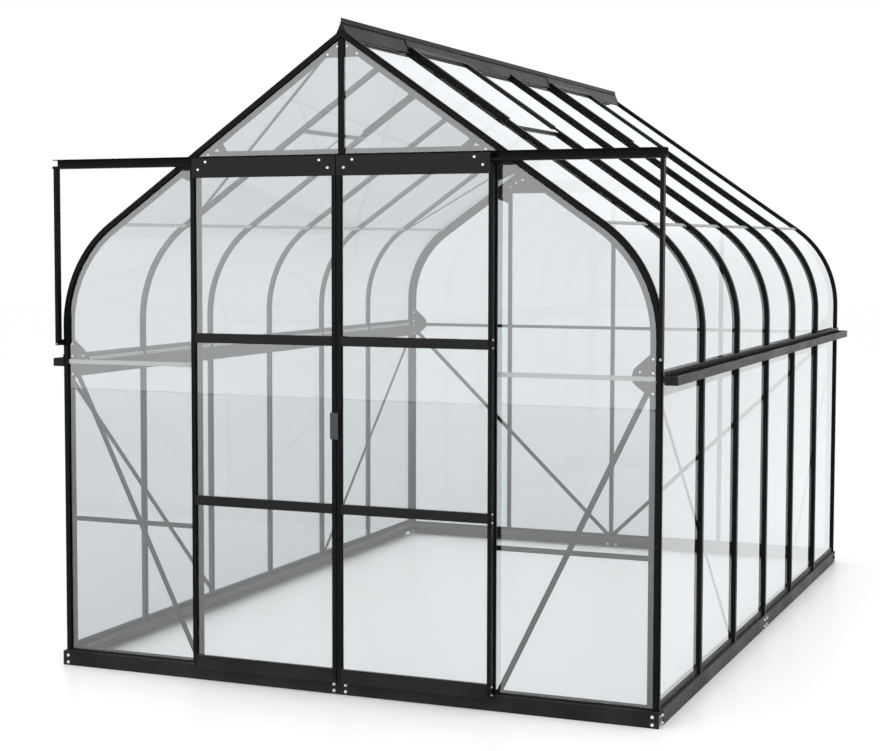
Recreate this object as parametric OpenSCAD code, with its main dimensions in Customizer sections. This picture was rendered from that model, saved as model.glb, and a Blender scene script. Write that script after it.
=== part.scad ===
// Walk-in glass greenhouse with curved eaves and a pair of sliding doors.
// Millimetres, +Z up. The doors face -Y. The origin is on the ground, under
// the middle of everything that stands there, doors and handle included.

/* [Footprint] */
// Width over the base frame
base_w = 2570; // [2400:10:3000]
// Distance between two bars along a side
bay = 625; // [500:5:750]
// Number of bays along a side
side_bays = 6; // [4:1:8]
// From the middle of an end arch to the end of the base
end_margin = 28; // [28:1:60]
// From a quarter of the width to the middle of a door post or rear post
post_set = 10.5; // [0:0.5:40]

/* [Base frame] */
// Height of the base profile
base_h = 60; // [40:1:120]
// Sheet thickness of the base profile
base_t = 3; // [2:0.5:6]
// Depth of the top flange that the bars stand on
base_flange = 64; // [62:1:90]
// Depth of the return at the inner edge of the flange
base_return = 25; // [8:1:35]
// Joint between two lengths of base
base_joint = 1; // [0.5:0.5:4]
// Length of the splice plate behind each joint
splice_len = 90; // [60:5:200]
// Distance of a splice plate from the ground and from the top flange
splice_gap = 4; // [2:1:10]

/* [Arch line] */
// Set-back of the end arches from the sides of the base
side_inset = 4.5; // [4.5:0.5:20]
// Set-back of the end arches from the front and rear of the base
end_inset = 15; // [10:1:30]
// Height where the straight wall passes into the curved eave
wall_h = 1430; // [1400:5:1600]
// Radius of the curved eave at the outer face of the end arches
eave_r = 520; // [400:5:600]
// Slope of the roof in degrees
roof_slope = 35.1; // [32:0.1:40]

/* [End arches] */
// Face width of the end arches
arch_face = 24; // [18:1:24]
// Width of the flange behind the end glass
arch_flange = 25; // [10:1:30]
// Reach of the flange behind the side glass
arch_side_flange = 14; // [8:1:25]
// Width of the step along the outer front edge
nose = 4; // [1:0.5:8]
// Depth of this step
nose_depth = 7; // [2:1:10]

/* [Bars] */
// Height of the side bars above the line of the end arches
bar_proud = 4.5; // [2:0.5:6]
// Width of the bars and posts in front of the glass
bar_face = 24; // [18:1:34]
// Width of the web between two panes
bar_web = 10; // [6:1:12]
// Width of the flange behind the panes
bar_flange = 16; // [15:1:30]
// Thickness of the flanges
flange_t = 3; // [2:0.5:4]

/* [Glass] */
// Depth from the arch line to the outer face of the side glass
glass_set = 10.5; // [9:0.5:16]
// Recess of the end glass behind the front of the arches
glass_recess = 10; // [8:1:16]
// Thickness of the panes
glass_t = 3; // [2:0.5:4]
// Play between a pane and the web beside it
glass_play = 1.5; // [0.5:0.5:2]
// From the top of the straight wall down to the joint of the lower and upper panes
joint_drop = 148; // [60:1:200]
// Height of the joint strips
strip_h = 18; // [8:1:30]
// Depth of a joint strip in front of the glass
strip_proud = 2; // [1:0.5:4]
// Clearance between pieces that sit on each other
seat = 0.3; // [0.1:0.1:1]

/* [Sills and beams] */
// Height of the side sills above the base
side_sill = 26; // [10:1:40]
// Height of the gable sills behind the glass
gable_sill = 18; // [10:1:40]
// Height of the front lip of the gable sills
sill_lip = 8; // [4:1:10]
// From the joint of the panes down to the top of the eave beam
beam_drop = 5; // [0:1:40]
// Height of the eave beam
beam_h = 62; // [30:1:80]
// Width of the lip of the eave beam
beam_lip = 15; // [5:1:30]
// Height of the middle rails in the front panels
mid_rail_z = 622; // [400:1:900]
// Face height of the middle rails
mid_rail_h = 20; // [12:1:40]

/* [Header and door track] */
// From the apex of the arches down to the underside of the door track
track_drop = 519; // [480:1:700]
// Height of the door track
track_h = 38; // [38:1:60]
// How far the door track stands out beyond the base at each end
track_over = 10; // [5:1:30]
// Wall of the track
track_t = 3; // [2:0.5:4]
// Reach of the track in front of the base
track_reach = 26; // [20:1:26]
// Height of the runner that carries the rollers, above the underside
track_floor = 7.5; // [4:0.5:8]
// Height of the front lip of the track
track_lip = 11; // [8:1:12]
// Height of the header flange behind the gable glass
header_lip = 22; // [12:1:40]
// Depth of the header below the track
header_drop = 14; // [5:1:40]
// From the joint of the panes up to the foot of the track supports
support_rise = 68; // [20:1:100]
// Width of the track supports
support_w = 14; // [10:1:20]
// Set-back of the supports from the ends of the track
support_set = 4.5; // [0:0.5:8]
// Depth of the track supports
support_d = 28; // [28:1:35]
// Height of the bracket between a support and the arch
bracket_h = 24; // [15:1:60]

/* [Doors] */
// How far a closed leaf passes the outer edge of its post, negative where it stays inside
leaf_lap = -2; // [-5:1:20]
// Gap between the closed leaves
leaf_gap = 4; // [4:1:20]
// Bottom of the leaves
leaf_z = 52; // [20:1:80]
// Thickness of a leaf
leaf_t = 26; // [18:1:40]
// Clearance between a leaf and what it passes
leaf_clear = 5; // [5:0.5:12]
// Recess of the door glass behind the front of the leaf
leaf_recess = 11; // [4:1:11]
// Face width of the meeting stiles
stile_w = 17; // [14:1:40]
// Face width of the outer stiles
stile_out_w = 16; // [14:1:40]
// Width of the stile flange behind the door glass
stile_flange = 4; // [3:1:20]
// Face height of the middle door rails
door_rail_h = 38; // [15:1:50]
// Height of the lower middle rail
door_rail_low = 740; // [500:1:900]
// Height of the upper middle rail
door_rail_high = 1396; // [1100:1:1600]
// Height of the kick rail
kick_h = 56; // [40:1:150]
// Height of the hanger plate
hanger_h = 78; // [60:1:100]
// From the top of the track down to the top of the hanger plate
hanger_drop = 6; // [0:1:6]
// Thickness of the hanger plate
hanger_t = 3; // [2:0.5:5]
// Set-back of the hanger plate from the outer edge of the leaf
hanger_set = 9; // [0:1:30]
// Distance of the rollers from the ends of the hanger plate
roller_in = 62; // [40:1:120]
// Diameter of the rollers
roller_d = 20; // [14:1:22]
// Width of the rollers
roller_w = 10; // [6:1:14]
// From the front of the base to the middle of the rollers
roller_set = 7; // [5:1:9]
// Gap between the rollers and the runner
roller_play = 0.5; // [0.2:0.1:1]
// Diameter of the roller pins
pin_d = 6; // [4:0.5:8]
// Height of the handle plate
handle_h = 103; // [60:1:200]
// Width of the handle plate
handle_w = 34; // [28:1:35]
// Reach of the handle plate over the other leaf
handle_over = 13; // [5:1:14]
// Middle of the handle plate
handle_z = 1066; // [900:1:1200]
// Thickness of the handle plate
handle_t = 5; // [3:1:10]
// Distance of the handle plate from the front of the leaves
handle_stand = 8; // [8:1:20]

/* [Gutters] */
// Width of the gutters
gutter_w = 51; // [40:1:90]
// From the joint of the panes down to the underside of the gutters
gutter_drop = 22; // [0:1:100]
// Height of the outer gutter wall
gutter_h = 34; // [20:1:60]
// Height of the gutter wall at the building
gutter_back = 50; // [30:1:70]
// Wall of the gutters
gutter_t = 3; // [2:0.5:4]
// From the ends of the base to the ends of the gutters
gutter_inset = 27; // [10:1:60]

/* [Ridge] */
// Width of the ridge at the lower edge of its steep faces
ridge_w = 60; // [50:1:70]
// Width of the ridge at the top of its steep faces
ridge_top_w = 10; // [6:1:20]
// Height of the top of the steep faces above the apex
ridge_top_h = 20; // [15:1:30]
// Height of the steep faces
ridge_face_h = 54; // [50:1:60]
// Depth of the ridge below the apex
ridge_d = 59; // [50:1:100]
// Length of the lip over the panes
ridge_lip = 10; // [5:1:20]
// Thickness of this lip
ridge_lip_t = 3; // [2:0.5:5]
// Height of the crest above the apex
crest_h = 43; // [35:1:60]
// Thickness of the crest
crest_t = 4; // [2:0.5:6]
// Width over the fins of the crest
fin_w = 16; // [8:1:24]
// Height of the fins above the steep faces
fin_rise = 3; // [2:0.5:8]
// Thickness of the fins
fin_t = 3; // [2:0.5:5]
// From the ends of the base to the ends of the ridge
ridge_inset = 21; // [5:1:40]

/* [Roof vents] */
// Bays with a vent, counted from the front
vent_bays = [2, 5];
// Length of the vent side rails down the slope
vent_len = 532; // [350:1:650]
// Height of the side rails above the bars
vent_t = 4.5; // [3:0.5:8]
// Depth from the top of the side rails to the vent pane
vent_deep = 9; // [8:0.5:10]
// Width of the side rails beside the bars
vent_side = 14.5; // [8:0.5:30]
// Width of the upper cross rail
vent_cross = 20; // [12:1:40]
// From the lower end of the side rails down to the lower edge of the lower cross rail
vent_end = 40; // [20:1:60]
// Width of the lower cross rail
vent_low_w = 12; // [10:1:16]
// Width of its web past the end of the roof pane
vent_web = 4; // [2:0.5:6]
// Width of its flange behind the web
vent_sill = 24; // [10:1:40]
// Thickness of the hinge plate on the ridge
hinge_t = 3; // [2:0.5:5]
// How far the hinge plate passes the middle of the bars beside the vent
hinge_over = 14; // [5:1:20]
// Length of the vent stay
stay_len = 95; // [50:5:200]
// Width of the vent stay
stay_w = 12; // [8:1:20]
// Distance of the vent stay from the middle of its vent
stay_set = 80; // [0:5:150]

/* [Bracing] */
// Width of the brace strips
brace_w = 22; // [12:1:30]
// Thickness of the brace strips
brace_t = 2; // [1:0.5:5]
// Distance of a brace end from the piece beside it
brace_gap = 5; // [2:1:12]
// From the joint of the panes down to the upper end of a gable brace
brace_drop = 40; // [20:1:50]
// From the ridge down the slope to the upper end of a roof brace
brace_ridge = 20; // [16:1:100]
// Thickness of the gusset plates
gusset_t = 3; // [2:0.5:3]
// Reach of the corner gussets along the arch, from their middle
gusset_h = 84; // [60:1:120]
// Reach of the corner gussets into the gable
gusset_w = 98; // [60:1:120]
// From the joint of the panes up to the middle of the corner gussets
gusset_rise = 15; // [0:1:20]
// Reach of the header gussets along the header
header_gusset_w = 147; // [80:1:180]
// Reach of the header gussets above the header
header_gusset_h = 97; // [60:1:120]
// Half width of the apex gussets at their lower edge
apex_gusset_w = 66; // [40:1:80]
// Reach of the apex gussets below the end arches
apex_gusset_h = 47; // [30:1:80]

/* [Hidden] */
$fn = 96;

// Colours
frame_color = [0.09, 0.09, 0.1];
glass_color = [0.8, 0.88, 0.9, 0.35];
strip_color = [0.75, 0.78, 0.78];
handle_color = [0.2, 0.2, 0.2];

// Footprint
base_l = side_bays * bay + 2 * end_margin;
front_y = -base_l / 2;
front_reach = leaf_clear + leaf_t + handle_stand + handle_t;
shift_y = front_reach / 2;
post_x = base_w / 4 - post_set;

// Arch line: half width, centre of the eave arc, its end and the apex
half_w = base_w / 2 - side_inset;
arc_x = half_w - eave_r;
arc_end = 90 - roof_slope;
roof_run = (arc_x + eave_r * cos(arc_end)) / cos(roof_slope);
apex_z = wall_h + eave_r * sin(arc_end) + roof_run * sin(roof_slope);
function roof_z(x, d) = apex_z - x * tan(roof_slope) - d / cos(roof_slope);
function roof_x(z, d) = (apex_z - d / cos(roof_slope) - z) / tan(roof_slope);
// Distance up the slope, from the end of the arc, of the point at x and depth d
function roof_s(x, d) = roof_run - (x + d * sin(roof_slope)) / cos(roof_slope);

// Depths from the arch line inwards
glass_in = glass_set + glass_t;
bar_in = glass_in + seat + flange_t;
end_flange_in = arch_face + arch_flange;

// Layers from the front of the end arches inwards
frame_y = front_y + end_inset;
end_glass_y = frame_y + glass_recess;
end_flange_y = end_glass_y + glass_t;
plate_y = end_flange_y + flange_t;
web_y = plate_y + gusset_t;
arch_back_y = web_y + flange_t;

// Levels
floor_top = base_h + flange_t;
joint_z = wall_h - joint_drop;
gutter_z = joint_z - gutter_drop;
track_z = apex_z - track_drop;
gable_sill_top = base_h + gable_sill;
beam_top = joint_z - beam_drop;
track_top = track_z + track_h;
track_half = base_w / 2 + track_over;
header_bottom = track_z - header_drop;
header_top = track_top + header_lip;
rail_top = track_z + track_floor;
support_foot = joint_z + support_rise;

// Ridge: half width, top of its faces, and how fast a face moves out going down
ridge_x = ridge_w / 2;
ridge_top = apex_z + ridge_top_h;
face_run = (ridge_w - ridge_top_w) / 2 / ridge_face_h;
// Where a steep face meets the depth d
function face_x(d) = (ridge_top_w / 2 + face_run * (ridge_top_h + d / cos(roof_slope)))
    / (1 - face_run * tan(roof_slope));

// The side rails of a vent lie on the bars, with their upper ends at the hinge plate
vent_d = -bar_proud - seat;
hinge_run = (hinge_t + 2 * seat) / (1 - face_run * tan(roof_slope));
vent_top_s = roof_s(face_x(vent_d) + hinge_run, vent_d);
vent_low_s = vent_top_s - vent_len;
vent_pane_d = vent_d - vent_t + vent_deep;
// Upper end of the parts between the bars, lower cross rail and the web in its middle
vent_in_s = roof_s(ridge_x + hinge_t + 2 * seat, vent_pane_d + glass_t);
cross_s = vent_low_s - vent_end;
web_s = cross_s + (vent_low_w - vent_web) / 2;
function is_vent(k) = len([for (b = vent_bays) if (b == k + 1) b]) > 0;

// Doors
leaf_back = front_y - leaf_clear;
leaf_front = leaf_back - leaf_t;
leaf_top = track_z - leaf_clear;
leaf_flange_y = leaf_front + leaf_recess + glass_t;
leaf_in = leaf_gap / 2;
leaf_out = post_x + bar_face / 2 + leaf_lap;
plate_top = track_top - hanger_drop;
plate_bottom = plate_top - hanger_h;
roller_z = rail_top + roller_play + roller_d / 2;
roller_y = front_y - roller_set;

// Positions of the side bars, the end arches counted as the first and last
function bar_y(k) = -side_bays * bay / 2 + k * bay;
// Start and end of bay k for a piece that keeps g from the middle of the bars and h from the arches
function bay_start(k, g, h) = k == 0 ? arch_back_y + h : bar_y(k) + g;
function bay_end(k, g, h) = k == side_bays - 1 ? -arch_back_y - h : bar_y(k + 1) - g;
function pane_start(k) = bay_start(k, bar_web / 2 + glass_play, glass_play);
function pane_end(k) = bay_end(k, bar_web / 2 + glass_play, glass_play);
function body_start(k) = bay_start(k, bar_face / 2, 0);
function body_end(k) = bay_end(k, bar_face / 2, 0);

// Helpers

module both_sides() {
    children();
    mirror([1, 0, 0]) children();
}

module both_ends() {
    children();
    mirror([0, 1, 0]) children();
}

module paint(c) {
    color(c) translate([0, shift_y, 0]) children();
}

// A front outline, drawn as [x, z], made solid between two depths
module slab(y0, y1) {
    translate([0, y1, 0]) rotate([90, 0, 0]) linear_extrude(y1 - y0) children();
}

module box(x, y, z) {
    translate([x[0], y[0], z[0]]) cube([x[1] - x[0], y[1] - y[0], z[1] - z[0]]);
}

// Area under the arch line, set in by d, on the side of +X
module arch_area(d) {
    r = eave_r - d;
    square([half_w - d, wall_h]);
    translate([arc_x, wall_h]) circle(r);
    polygon([[0, 0], [arc_x + r * cos(arc_end), 0],
        [arc_x + r * cos(arc_end), wall_h + r * sin(arc_end)], [0, roof_z(0, d)]]);
}

// Band between two depths, from a foot level to a distance from the middle
module arch_band(d0, d1, foot, x_end) {
    difference() {
        arch_area(d0);
        arch_area(d1);
        translate([-1, -1]) square([base_w, foot + 1]);
        translate([-1, 0]) square([x_end + 1, 2 * apex_z]);
    }
}

// Stretch of the straight roof between two depths, measured up the slope
module roof_strip(d0, d1, s0, s1) {
    translate([arc_x, wall_h]) rotate(arc_end) translate([eave_r - d1, s0]) square([d1 - d0, s1 - s0]);
}

// Stretch of the eave arc between two depths, up to its end at the roof
module arc_strip(d0, d1) {
    far = 2 * eave_r;
    translate([arc_x, wall_h]) intersection() {
        difference() {
            circle(eave_r - d0);
            circle(eave_r - d1);
        }
        polygon([[0, 0], [far, 0], [far * cos(arc_end / 2), far * sin(arc_end / 2)],
            [far * cos(arc_end), far * sin(arc_end)]]);
    }
}

// A flat strip between two points of a front outline
module strip2d(p, q, w) {
    a = atan2(q[1] - p[1], q[0] - p[0]);
    len = sqrt(pow(q[0] - p[0], 2) + pow(q[1] - p[1], 2));
    translate(p) rotate(a) translate([-w / 2, -w / 2]) square([len + w, w]);
}

// In the plane of the roof: the first axis runs along the building, the second up the slope
module on_roof(d) {
    translate([arc_x, 0, wall_h]) rotate([0, -arc_end, 0]) translate([eave_r - d, 0, 0])
        rotate([90, 0, 90]) children();
}

// Base frame

// Cross-section of the base: outer face at 0, inwards is +X
module base_section() {
    square([base_t, base_h]);
    translate([0, base_h - base_t]) square([base_flange, base_t]);
    translate([base_flange - base_t, base_h - base_return]) square([base_t, base_return]);
}

// Length of base along the side of +X
module base_run(y0, y1) {
    translate([base_w / 2, y1, 0]) mirror([1, 0, 0]) rotate([90, 0, 0])
        linear_extrude(y1 - y0) base_section();
}

// Length of base along the front
module base_cross(x0, x1) {
    translate([x0, front_y, 0]) rotate([90, 0, 90]) linear_extrude(x1 - x0) base_section();
}

module base_ends() {
    paint(frame_color) both_ends() both_sides() base_cross(base_joint / 2, base_w / 2);
}

module base_sides() {
    run_end = base_l / 2 - base_flange - seat;
    paint(frame_color) both_sides() {
        base_run(-run_end, -base_joint / 2);
        base_run(base_joint / 2, run_end);
    }
}

module base_splices() {
    z = [splice_gap, base_h - base_t - splice_gap];
    along = [-splice_len / 2, splice_len / 2];
    paint(frame_color) {
        both_ends() box(along, [front_y + base_t, front_y + 2 * base_t], z);
        both_sides() box([base_w / 2 - 2 * base_t, base_w / 2 - base_t], along, z);
    }
}

// Sills

module gable_sills() {
    paint(frame_color) {
        both_sides() outer_sill();
        mirror([0, 1, 0]) both_sides() {
            outer_sill();
            sill_front(bar_face / 2, post_x - bar_face / 2);
            sill_back(bar_flange / 2, post_x - bar_flange / 2);
        }
    }
}

// Sill between a post and the end arch
module outer_sill() {
    sill_front(post_x + bar_face / 2, half_w - arch_face);
    sill_back(post_x + bar_flange / 2, half_w - end_flange_in);
}

// Floor under the glass and the low lip in front of it
module sill_front(x0, x1) {
    y0 = end_glass_y - seat - flange_t;
    box([x0, x1], [y0, end_flange_y], [base_h, floor_top]);
    box([x0, x1], [y0, y0 + flange_t], [base_h, base_h + sill_lip]);
}

module sill_back(x0, x1) {
    box([x0, x1], [end_flange_y, plate_y], [base_h, gable_sill_top]);
}

module side_sills() {
    x2 = half_w - glass_set + seat;
    paint(frame_color) both_sides() for (k = [0 : side_bays - 1]) {
        box([half_w - glass_in, x2 + flange_t], [body_start(k), body_end(k)], [base_h, floor_top]);
        box([x2, x2 + flange_t], [body_start(k), body_end(k)], [base_h, base_h + side_sill]);
        box([half_w - bar_in, half_w - glass_in],
            [bay_start(k, bar_flange / 2, arch_side_flange), bay_end(k, bar_flange / 2, arch_side_flange)],
            [base_h, floor_top]);
    }
}

// End arches

module end_arch() {
    slab(frame_y, frame_y + nose_depth) arch_band(nose, arch_face, base_h, seat);
    slab(frame_y + nose_depth, arch_back_y) arch_band(0, arch_face, base_h, seat);
    slab(end_flange_y, plate_y) arch_band(arch_face - 1, end_flange_in, base_h, seat);
    slab(web_y, arch_back_y + arch_side_flange) arch_band(glass_in + seat, bar_in, base_h, ridge_x + seat);
}

module end_arches() {
    paint(frame_color) both_ends() both_sides() end_arch();
}

// Side bars: a body in front of the glass, a web between the panes, a flange behind them

module side_bar() {
    x_end = ridge_x + seat;
    slab(-bar_face / 2, bar_face / 2) arch_band(-bar_proud, glass_set - seat, base_h, x_end);
    slab(-bar_web / 2, bar_web / 2) arch_band(glass_set - 1, bar_in, base_h, x_end);
    slab(-bar_flange / 2, bar_flange / 2) arch_band(glass_in + seat, bar_in, base_h, x_end);
}

module side_bars() {
    paint(frame_color) both_sides() for (k = [1 : side_bays - 1])
        translate([0, bar_y(k), 0]) side_bar();
}

// Eaves

module eave_beams() {
    outer = half_w - bar_in;
    end = -arch_back_y - seat;
    paint(frame_color) both_sides() {
        box([outer - flange_t, outer], [-end, end], [beam_top - beam_h, beam_top]);
        box([outer - beam_lip, outer], [-end, end], [beam_top - flange_t, beam_top]);
    }
}

module gutter_section() {
    square([gutter_t, gutter_back]);
    square([gutter_w, gutter_t]);
    translate([gutter_w - gutter_t, 0]) square([gutter_t, gutter_h]);
    translate([gutter_w - 3 * gutter_t, gutter_h - gutter_t]) square([3 * gutter_t, gutter_t]);
}

module gutters() {
    end = -front_y - gutter_inset;
    back = half_w + bar_proud + seat;
    paint(frame_color) both_sides() {
        translate([back, end, gutter_z]) rotate([90, 0, 0]) linear_extrude(2 * end) gutter_section();
        both_ends() box([back, back + gutter_w], [-end, -end + gutter_t], [gutter_z, gutter_z + gutter_h]);
    }
}

// Ridge

// Outline of the ridge on the side of +X, without its lip
module ridge_half() {
    polygon([[0, apex_z - ridge_d], [ridge_x, apex_z - ridge_d], [ridge_x, ridge_top - ridge_face_h],
        [ridge_top_w / 2, ridge_top], [0, ridge_top]]);
    translate([0, ridge_top - 1]) square([crest_t / 2, crest_h - ridge_top_h + 1]);
    translate([0, ridge_top + fin_rise]) square([fin_w / 2, fin_t]);
}

module ridge_lip_area() {
    roof_strip(glass_set - seat - ridge_lip_t, glass_set - seat, roof_s(ridge_x, glass_set) - ridge_lip,
        roof_run);
}

module ridge() {
    inner = -arch_back_y - seat;
    paint(frame_color) union() both_sides() {
        slab(-inner, inner) ridge_half();
        slab(front_y + ridge_inset, -front_y - ridge_inset) difference() {
            ridge_half();
            arch_area(-seat);
        }
        for (k = [0 : side_bays - 1]) if (!is_vent(k))
            slab(bay_start(k, bar_face / 2, seat), bay_end(k, bar_face / 2, seat)) ridge_lip_area();
    }
}

// Door track, header and supports

module door_track() {
    y0 = front_y - track_reach;
    along = [-track_half, track_half];
    paint(frame_color) {
        box(along, [y0, frame_y], [track_top - track_t, track_top]);
        box(along, [frame_y - track_t, frame_y], [track_z, track_top]);
        box(along, [y0, frame_y], [track_z, rail_top]);
        box(along, [y0, y0 + track_t], [track_z, track_z + track_lip]);
    }
}

module track_supports() {
    x1 = track_half - support_set;
    x0 = x1 - support_w;
    y0 = front_y - track_reach;
    paint(frame_color) both_sides() {
        box([x0, x1], [y0, y0 + support_d], [support_foot + support_w / 2, track_z]);
        translate([x0 + support_w / 2, y0, support_foot + support_w / 2]) rotate([-90, 0, 0])
            cylinder(d = support_w, h = support_d);
        box([half_w - arch_face / 2, x0 + support_w / 2], [y0 + support_d - 1, frame_y],
            [support_foot, support_foot + bracket_h]);
    }
}

// Header across the gable: a box behind the track and a flange behind the glass
module header() {
    slab(frame_y, end_flange_y) intersection() {
        translate([0, header_bottom]) square([half_w, track_top - header_bottom]);
        arch_area(arch_face + seat);
    }
    slab(end_flange_y, web_y) intersection() {
        translate([0, header_bottom]) square([half_w, track_top - header_bottom]);
        arch_area(end_flange_in + seat);
    }
    slab(end_flange_y, plate_y) intersection() {
        translate([0, header_bottom]) square([half_w, header_top - header_bottom]);
        arch_area(end_flange_in + seat);
    }
}

module headers() {
    paint(frame_color) both_ends() union() both_sides() header();
}

// Posts, of the same profile as the side bars

module post(x) {
    z = [base_h, header_bottom];
    box([x - bar_face / 2, x + bar_face / 2], [frame_y, end_glass_y - seat], z);
    box([x - bar_web / 2, x + bar_web / 2], [end_glass_y - 1, plate_y], z);
    box([x - bar_flange / 2, x + bar_flange / 2], [end_flange_y, plate_y], z);
}

// King post between the header and the meeting arches
module king_post() {
    box([-bar_face / 2, bar_face / 2], [frame_y, end_glass_y - seat],
        [track_top, roof_z(bar_face / 2, arch_face)]);
    box([-bar_web / 2, bar_web / 2], [end_glass_y - 1, end_flange_y],
        [track_top, roof_z(bar_web / 2, arch_face)]);
    box([-bar_flange / 2, bar_flange / 2], [end_flange_y, plate_y],
        [header_top, roof_z(bar_flange / 2, end_flange_in)]);
}

module front_posts() {
    paint(frame_color) {
        both_sides() post(post_x);
        king_post();
    }
}

module rear_posts() {
    paint(frame_color) mirror([0, 1, 0]) {
        both_sides() post(post_x);
        post(0);
        king_post();
    }
}

// Gussets

module corner_gusset() {
    x = half_w - arch_face;
    z = joint_z + gusset_rise;
    w = gusset_w;
    h = gusset_h;
    slab(plate_y, web_y) polygon([[x, z + h], [x - 0.15 * w, z + h], [x - 0.88 * w, z + 0.24 * h],
        [x - w, z - 0.18 * h], [x - 0.88 * w, z - 0.42 * h], [x - 0.26 * w, z - h], [x, z - h]]);
}

module corner_gussets() {
    paint(frame_color) both_ends() both_sides() corner_gusset();
}

// Plate in the corner between the header and the arch, with a small hole, and its part below the header
module header_gusset() {
    x = roof_x(track_top, arch_face);
    w = header_gusset_w;
    h = header_gusset_h;
    post_edge = post_x + bar_flange / 2;
    hole = 0.15 * w;
    slab(plate_y, web_y) difference() {
        intersection() {
            arch_area(arch_face);
            union() {
                polygon([[x - w, track_top], [x - 0.62 * w, track_top + h], [x - 0.5 * w, track_top + h],
                    [x + w, track_top]]);
                polygon([[post_edge, header_bottom - seat], [post_edge, header_bottom - 0.6 * h],
                    [x + 0.6 * w, header_bottom - 0.25 * h], [x + 0.6 * w, header_bottom - seat]]);
            }
        }
        translate([x - 0.6 * w, header_top]) circle(d = hole);
    }
}

module header_gussets() {
    paint(frame_color) both_ends() both_sides() header_gusset();
}

module apex_gusset() {
    w = apex_gusset_w;
    bottom = roof_z(0, end_flange_in) - apex_gusset_h;
    slab(plate_y, web_y) intersection() {
        arch_area(arch_face);
        polygon([[0, bottom], [w, bottom], [1.44 * w, bottom + w / 3], [1.44 * w, bottom + w], [0, apex_z]]);
    }
}

module apex_gussets() {
    paint(frame_color) both_ends() union() both_sides() apex_gusset();
}

// Rails and strips of the gables

module front_rails() {
    paint(frame_color) both_sides() box([post_x + bar_flange / 2, half_w - end_flange_in],
        [end_flange_y, plate_y], [mid_rail_z - mid_rail_h / 2, mid_rail_z + mid_rail_h / 2]);
}

module gable_strip(x0, x1) {
    box([x0, x1], [end_glass_y - strip_proud, end_flange_y],
        [joint_z - strip_h / 2, joint_z + strip_h / 2]);
}

module front_strips() {
    paint(strip_color) both_sides() gable_strip(post_x + bar_face / 2, half_w - arch_face);
}

module rear_rails() {
    paint(frame_color) mirror([0, 1, 0]) both_sides() {
        gable_strip(bar_face / 2, post_x - bar_face / 2);
        gable_strip(post_x + bar_face / 2, half_w - arch_face);
    }
}

// Strips between the panes of the sides, at the wall joint and at the top of the curve
module side_strips() {
    paint(strip_color) both_sides() for (k = [0 : side_bays - 1]) {
        box([half_w - glass_in, half_w - glass_set + strip_proud], [body_start(k), body_end(k)],
            [joint_z - strip_h / 2, joint_z + strip_h / 2]);
        slab(body_start(k), body_end(k)) roof_strip(glass_set - strip_proud, glass_in, 0, strip_h);
    }
}

// Braces

module side_braces() {
    z0 = base_h + brace_gap;
    z1 = beam_top - beam_h - seat;
    paint(frame_color) both_ends() both_sides()
        translate([half_w - bar_in, 0, 0]) rotate([90, 0, -90]) linear_extrude(brace_t) intersection() {
            strip2d([-web_y - brace_w / 2, z1], [-bar_y(2), z0 + brace_w / 2], brace_w);
            translate([0, z0]) square([-arch_back_y - seat, z1 - z0]);
        }
}

module gable_brace(x_foot) {
    slab(web_y, web_y + brace_t) intersection() {
        strip2d([half_w - end_flange_in - brace_gap, joint_z - brace_drop],
            [x_foot, gable_sill_top + brace_gap], brace_w);
        translate([seat, 0]) square([half_w - arch_face - 2 * seat, joint_z]);
    }
}

module gable_braces() {
    paint(frame_color) {
        both_sides() gable_brace(post_x + bar_face / 2 + brace_w / 2 + brace_gap);
        mirror([0, 1, 0]) both_sides() gable_brace(bar_face);
    }
}

module roof_braces() {
    paint(frame_color) both_ends() both_sides() on_roof(bar_in + brace_t) linear_extrude(brace_t)
        strip2d([bar_y(1), brace_w / 2],
            [arch_back_y + brace_w, roof_s(ridge_x, bar_in) - brace_ridge], brace_w);
}

// Glass

module wall_glass() {
    paint(glass_color) both_sides() for (k = [0 : side_bays - 1])
        box([half_w - glass_in, half_w - glass_set], [pane_start(k), pane_end(k)],
            [floor_top + seat, joint_z - strip_h / 2 - seat]);
}

module curved_glass() {
    z0 = joint_z + strip_h / 2 + seat;
    paint(glass_color) both_sides() for (k = [0 : side_bays - 1]) slab(pane_start(k), pane_end(k)) {
        translate([half_w - glass_in, z0]) square([glass_t, wall_h - z0]);
        arc_strip(glass_set, glass_in);
    }
}

module roof_glass() {
    paint(glass_color) both_sides() for (k = [0 : side_bays - 1]) slab(pane_start(k), pane_end(k))
        roof_strip(glass_set, glass_in, strip_h + seat,
            is_vent(k) ? web_s - glass_play : roof_s(ridge_x + seat, glass_in));
}

// Panes of a gable: the part of a cell that lies inside the arches
module gable_pane(x0, x1, z0, z1) {
    slab(end_glass_y, end_flange_y) intersection() {
        translate([x0, z0]) square([x1 - x0, z1 - z0]);
        arch_area(arch_face + glass_play);
    }
}

module gable_panes(x0, x1) {
    gable_pane(x0, x1, floor_top + seat, joint_z - strip_h / 2 - seat);
    gable_pane(x0, x1, joint_z + strip_h / 2 + seat, header_bottom - seat);
}

module front_glass() {
    edge = bar_web / 2 + glass_play;
    paint(glass_color) both_sides() {
        gable_panes(post_x + edge, half_w);
        gable_pane(edge, half_w, track_top + seat, apex_z);
    }
}

module rear_glass() {
    edge = bar_web / 2 + glass_play;
    paint(glass_color) mirror([0, 1, 0]) both_sides() {
        gable_panes(post_x + edge, half_w);
        gable_panes(edge, post_x - edge);
        gable_pane(edge, half_w, track_top + seat, apex_z);
    }
}

// Roof vents

module each_vent() {
    both_sides() for (b = vent_bays) translate([0, bar_y(b - 1), 0]) children();
}

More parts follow.
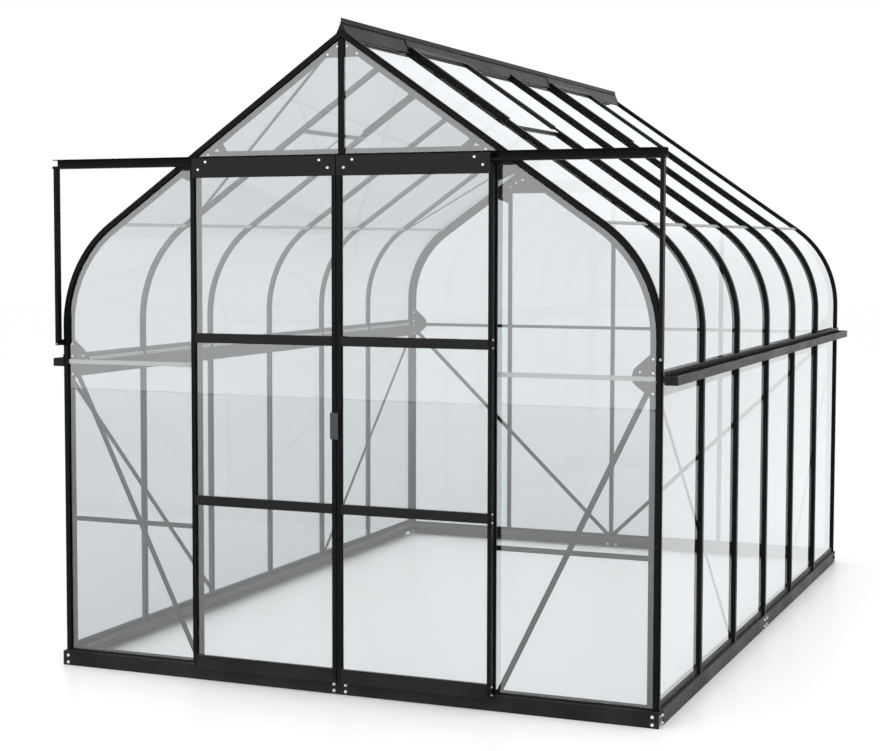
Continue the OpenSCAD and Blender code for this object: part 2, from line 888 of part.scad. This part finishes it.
// Side rail of a vent: a plate over half of the bar and a web beside the bar, down to the vent pane
module vent_side_rail() {
    y1 = bar_face / 2 + vent_side;
    slab(seat, y1) roof_strip(vent_d - vent_t, vent_d, vent_low_s, vent_top_s);
    slab(bar_face / 2 + seat, y1) roof_strip(vent_d - 1, vent_pane_d - seat, vent_low_s, vent_in_s);
}

module vent_sides() {
    paint(frame_color) each_vent() {
        vent_side_rail();
        translate([0, bay, 0]) mirror([0, 1, 0]) vent_side_rail();
    }
}

// Plate on a steep face of the ridge, above the bars
module hinge_plate() {
    x0 = ridge_top_w / 2 + seat;
    x1 = ridge_x + seat;
    slab(-hinge_over, bay + hinge_over) difference() {
        polygon([[x0, ridge_top], [x0 + hinge_t, ridge_top], [x1 + hinge_t, ridge_top - ridge_face_h],
            [x1, ridge_top - ridge_face_h]]);
        arch_area(vent_d);
    }
}

// Upper cross rail of a vent, from the hinge plate down to the pane
module vent_upper_rail() {
    y0 = bar_face / 2 + vent_side;
    slab(y0, bay - y0) {
        roof_strip(vent_d - vent_t, vent_d, vent_in_s - vent_cross, vent_top_s);
        roof_strip(vent_d - 1, vent_pane_d - seat, vent_in_s - vent_cross, vent_in_s);
    }
}

// Lower cross rail between the bars: a body under the vent pane, a web past the end of the roof pane
// and a flange behind
module vent_lower_rail() {
    slab(bar_face / 2, bay - bar_face / 2) {
        roof_strip(vent_pane_d + glass_t + seat, glass_set - seat, cross_s, cross_s + vent_low_w);
        roof_strip(glass_set - 1, bar_in, web_s, web_s + vent_web);
    }
    slab(bar_flange / 2, bay - bar_flange / 2)
        roof_strip(glass_in + seat, bar_in, web_s, web_s + vent_sill);
}

module vent_rails() {
    paint(frame_color) each_vent() {
        vent_upper_rail();
        vent_lower_rail();
        hinge_plate();
    }
}

module vent_glass() {
    edge = bar_face / 2 + glass_play;
    paint(glass_color) each_vent() slab(edge, bay - edge)
        roof_strip(vent_pane_d, vent_pane_d + glass_t, cross_s, vent_in_s);
}

module vent_stays() {
    paint(frame_color) each_vent() translate([0, bay / 2 + stay_set, 0]) slab(-stay_w / 2, stay_w / 2)
        roof_strip(bar_in, bar_in + brace_t, web_s - stay_len, web_s + vent_sill);
}

// Doors

module leaf_stiles() {
    y = [leaf_flange_y, leaf_flange_y + flange_t];
    z = [leaf_z, leaf_top];
    x1 = leaf_in + stile_w;
    x2 = leaf_out - stile_out_w;
    box([leaf_in, x1], [leaf_front, leaf_back], z);
    box([x1 - 1, x1 + stile_flange], y, z);
    box([x2, leaf_out], [leaf_front, leaf_back], z);
    box([x2 - stile_flange, x2 + 1], y, z);
}

module leaf_rail(z0, z1) {
    box([leaf_in + stile_w, leaf_out - stile_out_w], [leaf_front, leaf_flange_y], [z0, z1]);
}

module leaf_rails() {
    leaf_rail(leaf_z, leaf_z + kick_h);
    leaf_rail(door_rail_low - door_rail_h / 2, door_rail_low + door_rail_h / 2);
    leaf_rail(door_rail_high - door_rail_h / 2, door_rail_high + door_rail_h / 2);
    leaf_rail(plate_bottom, leaf_top);
}

module leaf_pane(z0, z1) {
    box([leaf_in + stile_w + glass_play, leaf_out - stile_out_w - glass_play],
        [leaf_flange_y - glass_t, leaf_flange_y], [z0 + seat, z1 - seat]);
}

module leaf_panes() {
    leaf_pane(leaf_z + kick_h, door_rail_low - door_rail_h / 2);
    leaf_pane(door_rail_low + door_rail_h / 2, door_rail_high - door_rail_h / 2);
    leaf_pane(door_rail_high + door_rail_h / 2, plate_bottom);
}

// Hanger plate with two rollers on pins, which run in the track
module leaf_hanger() {
    y1 = leaf_front;
    y2 = roller_y - roller_w / 2;
    x1 = leaf_out - hanger_set;
    box([leaf_in, x1], [y1 - hanger_t, y1], [plate_bottom, plate_top]);
    for (x = [leaf_in + roller_in, x1 - roller_in]) {
        translate([x, y1 - 1, roller_z]) rotate([-90, 0, 0]) cylinder(d = pin_d, h = y2 - y1 + 2);
        translate([x, y2, roller_z]) rotate([-90, 0, 0]) cylinder(d = roller_d, h = roller_w);
    }
}

// Handle plate on a foot, reaching in front of the other leaf
module leaf_handle() {
    z = [handle_z - handle_h / 2, handle_z + handle_h / 2];
    y1 = leaf_front - handle_stand;
    box([-handle_over, handle_w - handle_over], [y1 - handle_t, y1], z);
    box([leaf_in, handle_w - handle_over], [y1 - 1, leaf_front], z);
}

module right_stiles() {
    paint(frame_color) leaf_stiles();
}

module right_rails() {
    paint(frame_color) leaf_rails();
}

module right_glass() {
    paint(glass_color) leaf_panes();
}

module right_hanger() {
    paint(frame_color) leaf_hanger();
}

module left_stiles() {
    paint(frame_color) mirror([1, 0, 0]) leaf_stiles();
}

module left_rails() {
    paint(frame_color) mirror([1, 0, 0]) leaf_rails();
}

module left_glass() {
    paint(glass_color) mirror([1, 0, 0]) leaf_panes();
}

module left_hanger() {
    paint(frame_color) mirror([1, 0, 0]) leaf_hanger();
}

module left_handle() {
    paint(handle_color) mirror([1, 0, 0]) leaf_handle();
}

base_ends();
base_sides();
base_splices();
gable_sills();
side_sills();
end_arches();
side_bars();
eave_beams();
gutters();
ridge();
door_track();
track_supports();
headers();
front_posts();
rear_posts();
corner_gussets();
header_gussets();
apex_gussets();
front_rails();
rear_rails();
side_strips();
front_strips();
side_braces();
gable_braces();
roof_braces();
wall_glass();
curved_glass();
roof_glass();
front_glass();
rear_glass();
vent_sides();
vent_rails();
vent_glass();
vent_stays();
left_stiles();
left_rails();
left_glass();
left_hanger();
left_handle();
right_stiles();
right_rails();
right_glass();
right_hanger();
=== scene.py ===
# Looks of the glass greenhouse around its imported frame: paint, glass, fixings, floor, light and camera.
import math
import random

import bmesh
import bpy
from mathutils import Matrix, Vector


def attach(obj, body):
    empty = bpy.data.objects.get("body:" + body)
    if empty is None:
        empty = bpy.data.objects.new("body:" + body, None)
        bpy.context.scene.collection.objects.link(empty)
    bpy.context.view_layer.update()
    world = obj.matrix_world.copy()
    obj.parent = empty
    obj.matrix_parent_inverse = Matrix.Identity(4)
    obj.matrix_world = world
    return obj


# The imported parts

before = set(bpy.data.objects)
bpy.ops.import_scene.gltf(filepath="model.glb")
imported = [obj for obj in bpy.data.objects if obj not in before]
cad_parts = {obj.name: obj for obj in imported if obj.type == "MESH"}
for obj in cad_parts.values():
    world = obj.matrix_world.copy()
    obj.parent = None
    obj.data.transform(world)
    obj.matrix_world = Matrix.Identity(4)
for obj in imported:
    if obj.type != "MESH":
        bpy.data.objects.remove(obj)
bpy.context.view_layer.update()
random.seed(7)
GLASS = ["wall_glass", "curved_glass", "roof_glass", "front_glass", "rear_glass", "vent_glass",
         "left_glass", "right_glass"]
STRIPS = ["side_strips", "front_strips"]
LINED = ["base_ends", "base_sides", "gutters"]
# Parts that get a darker, less glossy copy of the coat: painted shade.
PAINTED_SHADE_PARTS = ["end_arches", "front_posts", "side_bars", "track_supports", "door_track", "left_stiles",
        "right_stiles"]

# Faces that carry fixings, in mm from the middle between the gables

BASE_END = 1903
BASE_SIDE = 1285
BASE_END_INSIDE = 1900
SPLICE_INSIDE = 1897
FLANGE_OUTSIDE = 1875
FLANGE_INSIDE = 1872
GUSSET_INSIDE = 1869
SUPPORT_FRONT = -1929
PLATE_FRONT = -1937
LEAF_EDGE = 642

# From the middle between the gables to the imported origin, in metres
SHIFT = 0.022

# Fixings on one face, as distances from the middle and heights in mm

CORNER_X = 1243
CORNER_HEIGHTS = (1354, 1303, 1278, 1228)
HEADER_BOLTS = ((592, 2128, GUSSET_INSIDE), (629, 2104, FLANGE_INSIDE))
APEX_BOLTS = ((20, 2535), (62, 2505))
PLATE_BOLTS = ((70, 2096), (34, 2066), (570, 2097), (604, 2067))
RAIL_HEIGHTS = (1414, 1383, 757, 724, 98, 67)

# Radii of nuts and heads, in metres

BASE_NUT = 0.0062
NUT = 0.005
RAIL_NUT = 0.0034
HEAD = 0.0038

# Floor, in metres

FLOOR_X = 30.0
FLOOR_FRONT = -14.1
FLOOR_BACK = 40.0
FLOOR_Z = -0.0005

# Camera, fitted to the photo: metres, radians and mm

CAMERA_AT = (2.95332, -8.27329, 1.77874)
CAMERA_DOWN = 0.06491
CAMERA_LEFT = 0.41038
CAMERA_LENS = 74.10
CAMERA_SHIFT = (0.0682, -0.0176)

# Node helpers


def new_material(name):
    """A material with an empty node tree and its output."""
    m = bpy.data.materials.new(name)
    m.use_nodes = True
    nt = m.node_tree
    nt.nodes.clear()
    out = nt.nodes.new("ShaderNodeOutputMaterial")
    return m, nt, out


def add(nt, kind, **values):
    """A node with its properties and its inputs set by name."""
    n = nt.nodes.new(kind)
    for k, v in values.items():
        if hasattr(n, k):
            setattr(n, k, v)
        else:
            n.inputs[k.replace("_", " ")].default_value = v
    return n


def set_or_link(nt, socket, v):
    """Sets an input to a plain value, or links a socket to it."""
    if hasattr(v, "links"):
        nt.links.new(v, socket)
    else:
        socket.default_value = v


def math_node(nt, op, a, b=None, clamp=False):
    """A maths node between two sockets or numbers."""
    n = nt.nodes.new("ShaderNodeMath")
    n.operation = op
    n.use_clamp = clamp
    set_or_link(nt, n.inputs[0], a)
    if b is not None:
        set_or_link(nt, n.inputs[1], b)
    return n.outputs[0]


def mix_color(nt, factor, a, b):
    """A colour mix between two sockets or colours."""
    n = nt.nodes.new("ShaderNodeMix")
    n.data_type = "RGBA"
    for i, v in ((0, factor), (6, a), (7, b)):
        set_or_link(nt, n.inputs[i], v)
    return n.outputs[2]


def mix_shader(nt, factor, a, b):
    """A mix of two shaders: the second one where the factor is 1."""
    n = add(nt, "ShaderNodeMixShader")
    for i, v in enumerate([factor, a, b]):
        nt.links.new(v, n.inputs[i])
    return n.outputs[0]


def noise(nt, scale, detail=4.0, stretch=(1, 1, 1)):
    """Noise over object coordinates, drawn out along the axes by stretch."""
    tc = add(nt, "ShaderNodeTexCoord")
    mp = add(nt, "ShaderNodeMapping")
    mp.inputs["Scale"].default_value = stretch
    nt.links.new(tc.outputs["Object"], mp.inputs["Vector"])
    n = add(nt, "ShaderNodeTexNoise", Scale=scale, Detail=detail)
    nt.links.new(mp.outputs[0], n.inputs["Vector"])
    return n.outputs["Fac"]


def remap(nt, v, a, b, lo, hi):
    """Maps a value from one range to another, held at the ends."""
    n = nt.nodes.new("ShaderNodeMapRange")
    for i, x in enumerate([v, a, b, lo, hi]):
        set_or_link(nt, n.inputs[i], x)
    return n.outputs[0]


def split(nt, vector):
    """The three parts of a vector."""
    n = add(nt, "ShaderNodeSeparateXYZ")
    nt.links.new(vector, n.inputs[0])
    return n.outputs


def bump(nt, shader, height, strength, distance):
    """Small relief on a shader, in metres."""
    n = add(nt, "ShaderNodeBump", Strength=strength, Distance=distance)
    nt.links.new(height, n.inputs["Height"])
    nt.links.new(n.outputs[0], shader.inputs["Normal"])
    return n


# Materials


def coat_material(name, line_axis=None, pitch=0.02, base=0.006, gloss=0.1):
    """Satin black powder coat: orange peel, dust near the ground, a patchy painted highlight on faces that
    point up, and lines across one axis.
    """
    m, nt, out = new_material(name)
    p = add(nt, "ShaderNodeBsdfPrincipled", Specular_IOR_Level=gloss)
    geo = add(nt, "ShaderNodeNewGeometry")
    place = split(nt, geo.outputs["Position"])
    facing = split(nt, geo.outputs["Normal"])
    cloud = noise(nt, 5.0, 5.0)
    low = remap(nt, place["Z"], 0.0, 0.16, 1.0, 0.0)
    dust = math_node(nt, "MULTIPLY", low, remap(nt, cloud, 0.35, 0.7, 0.15, 1.0))
    # Faces that point up are lightened in patches towards the dust grey: a painted highlight of the light
    # from above.
    painted_top_highlight = math_node(nt, "MULTIPLY", remap(nt, facing["Z"], 0.85, 1.0, 0.0, 0.10),
                        remap(nt, cloud, 0.3, 0.7, 0.5, 1.0))
    dust_and_top_highlight = math_node(nt, "ADD", math_node(nt, "MULTIPLY", dust, 0.035), painted_top_highlight, clamp=True)
    tone = mix_color(nt, remap(nt, cloud, 0.3, 0.7, 0.0, 1.0),
                     (base * 0.85, base * 0.86, base * 0.9, 1), (base * 1.2, base * 1.2, base * 1.22, 1))
    nt.links.new(mix_color(nt, dust_and_top_highlight, tone, (0.42, 0.41, 0.39, 1)), p.inputs["Base Color"])
    rough = math_node(nt, "ADD", remap(nt, cloud, 0.3, 0.7, 0.30, 0.40),
                      math_node(nt, "MULTIPLY", dust, 0.12))
    nt.links.new(rough, p.inputs["Roughness"])
    peel = bump(nt, p, noise(nt, 900.0, 2.0), 0.06, 0.0004)
    if line_axis is not None:
        w = math_node(nt, "FRACT", math_node(nt, "DIVIDE", place[line_axis], pitch))
        groove = math_node(nt, "COMPARE", w, 0.5)
        groove.node.inputs[2].default_value = 0.05
        line = bump(nt, p, groove, 0.5, 0.0006)
        line.invert = True
        nt.links.new(peel.outputs[0], line.inputs["Normal"])
    nt.links.new(p.outputs[0], out.inputs[0])
    return m


def outward(nt):
    """1 where a face points away from the middle of the building, 0 where it points inside."""
    geo = add(nt, "ShaderNodeNewGeometry")
    away = add(nt, "ShaderNodeVectorMath", operation="SUBTRACT")
    away.inputs[1].default_value = (0.0, SHIFT, 1.2)
    nt.links.new(geo.outputs["Position"], away.inputs[0])
    dot = add(nt, "ShaderNodeVectorMath", operation="DOT_PRODUCT")
    nt.links.new(away.outputs[0], dot.inputs[0])
    nt.links.new(geo.outputs["Normal"], dot.inputs[1])
    return remap(nt, dot.outputs["Value"], -0.01, 0.01, 0.0, 1.0)


def glass_material():
    """Toughened panes: faintly tinted, mirror-like at a low angle, a little dusty, with painted shade in the
    mirroring of faces that point inside. Lamps pass them.
    """
    m, nt, out = new_material("glass")
    clear = add(nt, "ShaderNodeBsdfTransparent", Color=(0.862, 0.880, 0.886, 1))
    gloss = add(nt, "ShaderNodeBsdfGlossy")
    nt.links.new(remap(nt, noise(nt, 18.0, 3.0), 0.4, 0.75, 0.0, 0.03), gloss.inputs["Roughness"])
    bump(nt, gloss, noise(nt, 0.9, 1.0), 0.02, 0.001)
    outside = outward(nt)
    # Faces that point inside mirror only about a quarter of the light, and more of it at a head-on view:
    # painted shade of the dim inside, on panes seen from within.
    nt.links.new(mix_color(nt, outside, (0.24, 0.25, 0.26, 1), (0.96, 0.985, 1.0, 1)), gloss.inputs["Color"])
    fresnel = add(nt, "ShaderNodeFresnel", IOR=1.5)
    slope = remap(nt, outside, 0.0, 1.0, 1.2, 1.9)
    start = remap(nt, outside, 0.0, 1.0, 0.07, 0.034)
    f = math_node(nt, "ADD", math_node(nt, "MULTIPLY", fresnel.outputs[0], slope), start, clamp=True)
    f = math_node(nt, "ADD", f, remap(nt, noise(nt, 2.3, 4.0), 0.3, 0.8, 0.0, 0.012), clamp=True)
    geo = add(nt, "ShaderNodeNewGeometry")
    entering = math_node(nt, "SUBTRACT", 1.0, geo.outputs["Backfacing"])
    pane = mix_shader(nt, math_node(nt, "MULTIPLY", f, entering), clear.outputs[0], gloss.outputs[0])
    lamps = add(nt, "ShaderNodeBsdfTransparent", Color=(0.975, 0.98, 0.98, 1))
    path = add(nt, "ShaderNodeLightPath")
    through = math_node(nt, "MAXIMUM", path.outputs["Is Shadow Ray"], path.outputs["Is Diffuse Ray"])
    nt.links.new(mix_shader(nt, through, pane, lamps.outputs[0]), out.inputs[0])
    return m


def strip_material():
    """Milky plastic joint strips."""
    m, nt, out = new_material("joint_strip")
    p = add(nt, "ShaderNodeBsdfPrincipled", Roughness=0.45)
    n = noise(nt, 40.0, 4.0, (1, 1, 4))
    nt.links.new(mix_color(nt, n, (0.26, 0.275, 0.275, 1), (0.34, 0.355, 0.355, 1)), p.inputs["Base Color"])
    bump(nt, p, n, 0.1, 0.0005)
    nt.links.new(p.outputs[0], out.inputs[0])
    return m


def handle_material():
    """Matt moulded plastic with a fine grain."""
    m, nt, out = new_material("handle")
    p = add(nt, "ShaderNodeBsdfPrincipled", Specular_IOR_Level=0.4)
    n = noise(nt, 700.0, 3.0)
    nt.links.new(remap(nt, n, 0.3, 0.7, 0.45, 0.6), p.inputs["Roughness"])
    nt.links.new(mix_color(nt, noise(nt, 20.0), (0.018, 0.018, 0.019, 1), (0.028, 0.028, 0.029, 1)),
                 p.inputs["Base Color"])
    bump(nt, p, n, 0.2, 0.0004)
    nt.links.new(p.outputs[0], out.inputs[0])
    return m


def steel_material():
    """Bright zinc-plated bolts and nuts, a little dull in places."""
    m, nt, out = new_material("bolt_steel")
    p = add(nt, "ShaderNodeBsdfPrincipled", Metallic=0.75)
    n = noise(nt, 400.0, 4.0)
    nt.links.new(mix_color(nt, n, (0.62, 0.62, 0.60, 1), (0.86, 0.86, 0.85, 1)), p.inputs["Base Color"])
    nt.links.new(remap(nt, n, 0.3, 0.7, 0.28, 0.48), p.inputs["Roughness"])
    bump(nt, p, n, 0.15, 0.0002)
    nt.links.new(p.outputs[0], out.inputs[0])
    return m


def floor_material():
    """Pale studio floor."""
    m, nt, out = new_material("floor_paint")
    p = add(nt, "ShaderNodeBsdfPrincipled", Roughness=0.35, Specular_IOR_Level=0.3)
    tint = noise(nt, 1.2, 3.0)
    nt.links.new(mix_color(nt, tint, (0.99, 0.99, 0.99, 1), (1.0, 1.0, 1.0, 1)), p.inputs["Base Color"])
    nt.links.new(p.outputs[0], out.inputs[0])
    return m


coat = coat_material("coat")
# A darker, less glossy copy of the same coat: painted shade on the arches, posts, bars, stiles and track.
coat_painted_shade = coat_material("coat_painted_shade", base=0.003, gloss=0.055)
coat_lined = coat_material("coat_long", "Z", 0.0125)
glass = glass_material()
strip = strip_material()
handle = handle_material()
steel = steel_material()
LOOKS = ((GLASS, glass), (STRIPS, strip), (["left_handle"], handle), (LINED, coat_lined), (PAINTED_SHADE_PARTS, coat_painted_shade))


def dress(node, material):
    """Puts one material on every face of a CAD node."""
    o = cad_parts[node]
    for slot in o.material_slots:
        slot.material = material
    if not o.material_slots:
        o.data.materials.append(material)


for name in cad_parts:
    dress(name, next((look for nodes, look in LOOKS if name in nodes), coat))

# Fixings


def stand(at, axis):
    """The place of a fixing that stands on a face, at a point in mm and along an axis."""
    rot = Vector(axis).normalized().to_track_quat("Z", "Y").to_matrix().to_4x4()
    return Matrix.Translation(Vector((at[0] / 1000, at[1] / 1000 + SHIFT, at[2] / 1000))) @ rot


def stack(bm, place, rings):
    """A turned piece: rings of n points, each with a radius and a height, capped at the top."""
    last = None
    for n, r, h in rings:
        turns = [2 * math.pi * i / n for i in range(n)]
        ring = [bm.verts.new(place @ Vector((r * math.cos(a), r * math.sin(a), h))) for a in turns]
        if last:
            for i in range(n):
                bm.faces.new((last[i], last[(i + 1) % n], ring[(i + 1) % n], ring[i]))
        last = ring
    bm.faces.new(last)


def nut(bm, at, axis, r):
    """A hexagon nut on its washer with the end of the bolt, turned by chance, for a washer of radius r."""
    place = stand(at, axis) @ Matrix.Rotation(random.uniform(0, 1), 4, "Z")
    stack(bm, place, [(16, 1.02 * r, 0.0), (16, 1.02 * r, 0.16 * r), (16, 0.98 * r, 0.2 * r)])
    stack(bm, place, [(6, 0.94 * r, 0.2 * r), (6, 0.94 * r, 0.85 * r), (6, 0.8 * r, 0.98 * r)])
    stack(bm, place, [(12, 0.5 * r, 0.9 * r), (12, 0.5 * r, 1.25 * r), (12, 0.38 * r, 1.38 * r)])


def flat_head(bm, at, axis, r=HEAD):
    """A low round bolt head of radius r."""
    rings = [(20, r, 0.0), (20, r, 0.0003), (20, 0.85 * r, 0.0006), (20, 0.4 * r, 0.0008)]
    stack(bm, stand(at, axis), rings)


def finish_mesh(bm, name, material, body):
    """Turns a bmesh into an object that rides on a body."""
    me = bpy.data.meshes.new(name)
    bmesh.ops.recalc_face_normals(bm, faces=bm.faces[:])
    bm.to_mesh(me)
    bm.free()
    me.materials.append(material)
    o = bpy.data.objects.new(name, me)
    bpy.context.scene.collection.objects.link(o)
    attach(o, body)
    return o


def base_fixings(bm, splice_y):
    """Nuts at the splice in the middle of one end of the base frame."""
    for x in (-25, 25):
        for z in (14, 40):
            nut(bm, (x, splice_y, z), (0, -1, 0), BASE_NUT)


def corner_fixings(bm, s, e, corner_y):
    """Nuts of the base frame at one corner, and at the splice in the middle of its side."""
    for z in (13, 42):
        nut(bm, (s * 1260, corner_y, z), (0, -1, 0), BASE_NUT)
        nut(bm, (s * BASE_SIDE, e * 1867, z + 3), (s, 0, 0), BASE_NUT)
        nut(bm, (s * BASE_SIDE, e * 26, z + 2), (s, 0, 0), BASE_NUT)


def gusset_fixings(bm, s, e):
    """Heads outside and nuts inside on the gussets of one half of a gable."""
    for z in CORNER_HEIGHTS:
        flat_head(bm, (s * CORNER_X, e * FLANGE_OUTSIDE, z), (0, e, 0))
        nut(bm, (s * CORNER_X, e * GUSSET_INSIDE, z), (0, -e, 0), NUT)
    flat_head(bm, (s * 1193, e * FLANGE_INSIDE, 1306), (0, e, 0))
    for x, z, nut_y in HEADER_BOLTS:
        flat_head(bm, (s * x, e * FLANGE_OUTSIDE, z), (0, e, 0))
        nut(bm, (s * x, e * nut_y, z), (0, -e, 0), NUT)
    for x, z in APEX_BOLTS:
        flat_head(bm, (s * x, e * FLANGE_OUTSIDE, z), (0, e, 0))
        nut(bm, (s * x, e * GUSSET_INSIDE, z), (0, -e, 0), NUT)
    nut(bm, (s * 1239, e * FLANGE_INSIDE, 90), (0, -e, 0), NUT)


# The nuts of the rear base frame are on its inside: it ends the part's box there
bolts = bmesh.new()
for e, splice_y, corner_y in ((-1, -BASE_END, -BASE_END), (1, SPLICE_INSIDE, BASE_END_INSIDE)):
    base_fixings(bolts, splice_y)
    for s in (-1, 1):
        corner_fixings(bolts, s, e, corner_y)
        gusset_fixings(bolts, s, e)
    for s in (-1, 1):
        nut(bolts, (s * 1284, SUPPORT_FRONT, 1356), (0, -1, 0), NUT)
finish_mesh(bolts, "frame_bolts", steel, "frame")

for body, s in (("left_door", -1), ("right_door", 1)):
    bm = bmesh.new()
    for x, z in PLATE_BOLTS:
        nut(bm, (s * x, PLATE_FRONT, z), (0, -1, 0), NUT)
    for z in RAIL_HEIGHTS:
        nut(bm, (s * LEAF_EDGE, -1927, z), (s, 0, 0), RAIL_NUT)
    finish_mesh(bm, body + "_bolts", steel, body)

# Floor and surroundings


def make_floor():
    """A flat floor just under the part."""
    me = bpy.data.meshes.new("floor")
    bm = bmesh.new()
    front = [(-FLOOR_X, FLOOR_FRONT), (FLOOR_X, FLOOR_FRONT)]
    back = [(FLOOR_X, FLOOR_BACK), (-FLOOR_X, FLOOR_BACK)]
    bm.faces.new([bm.verts.new((x, y, FLOOR_Z)) for x, y in front + back])
    bm.to_mesh(me)
    bm.free()
    me.materials.append(floor_material())
    o = bpy.data.objects.new("floor", me)
    bpy.context.scene.collection.objects.link(o)
    return o


def make_world():
    """White all round, for lighting and for what is seen."""
    world = bpy.data.worlds.new("studio")
    bpy.context.scene.world = world
    world.use_nodes = True
    nt = world.node_tree
    nt.nodes.clear()
    out = nt.nodes.new("ShaderNodeOutputWorld")
    lit = add(nt, "ShaderNodeBackground", Color=(1, 1, 1, 1), Strength=1.0)
    seen = add(nt, "ShaderNodeBackground", Color=(1, 1, 1, 1), Strength=1.0)
    path = add(nt, "ShaderNodeLightPath")
    mirrored = math_node(nt, "MAXIMUM", path.outputs["Is Glossy Ray"], path.outputs["Is Transmission Ray"])
    flag = math_node(nt, "MAXIMUM", path.outputs["Is Camera Ray"], mirrored)
    nt.links.new(mix_shader(nt, flag, lit.outputs[0], seen.outputs[0]), out.inputs[0])


def lamp(name, place, target, width, power, height=None):
    """A soft area lamp aimed at a point, square unless it has a height of its own."""
    data = bpy.data.lights.new(name, "AREA")
    data.energy = power
    data.size = width
    if height:
        data.shape = "RECTANGLE"
        data.size_y = height
    o = bpy.data.objects.new(name, data)
    bpy.context.scene.collection.objects.link(o)
    o.location = place
    o.rotation_euler = (Vector(target) - Vector(place)).to_track_quat("-Z", "Y").to_euler()


floor = make_floor()
make_world()
lamp("key", (4.5, -7.0, 8.5), (0, 0, 1.0), 4.0, 110)
lamp("front_wall", (0.0, -14.2, 5.0), (0, 0, 5.0), 24.0, 1230, 10.0)

# Camera


def make_camera():
    """The camera of the photo."""
    data = bpy.data.cameras.new("camera")
    data.sensor_width = 36.0
    data.lens = CAMERA_LENS
    data.shift_x, data.shift_y = CAMERA_SHIFT
    data.dof.use_dof = False
    data.clip_end = 200.0
    o = bpy.data.objects.new("camera", data)
    bpy.context.scene.collection.objects.link(o)
    o.location = CAMERA_AT
    o.rotation_euler = (math.pi / 2 - CAMERA_DOWN, 0.0, CAMERA_LEFT)
    return o


bpy.context.scene.camera = make_camera()
bpy.context.scene.view_settings.view_transform = "Standard"
